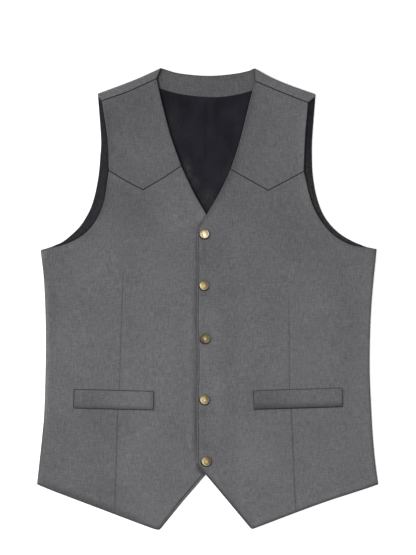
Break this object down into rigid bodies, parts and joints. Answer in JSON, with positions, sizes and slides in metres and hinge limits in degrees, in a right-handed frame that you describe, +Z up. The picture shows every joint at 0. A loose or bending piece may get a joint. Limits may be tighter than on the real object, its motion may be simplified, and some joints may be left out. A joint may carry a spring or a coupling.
{
  "type": "suit vest",
  "caption": "Sleeveless V-neck suit vest in grey suiting with pointed chest yokes, welt pockets, front darts, pointed hems and a snap front, laid flat face up.",
  "frame": {"origin": "centre of the vest's outline, on the surface that the back lies on", "axes": "+X towards the wearer's left, +Y from the front points up to the shoulders, +Z up off the surface"},
  "size_m": [0.5128, 0.6925, 0.0103],
  "materials": {
    "suiting": "matt grey plain-weave suiting with a faint heather",
    "lining": "black satin-faced lining",
    "snap_metal": "aged brass, domed and brushed"
  },
  "bodies": {
    "root": {"back": "suiting", "back_lining": "lining", "neck_facing": "suiting", "front_right": "suiting", "front_left": "suiting", "yoke_right": "suiting", "yoke_left": "suiting", "welt_right": "suiting", "welt_left": "suiting", "snap_1": "snap_metal", "snap_2": "snap_metal", "snap_3": "snap_metal", "snap_4": "snap_metal", "snap_5": "snap_metal"}
  },
  "joints": []
}
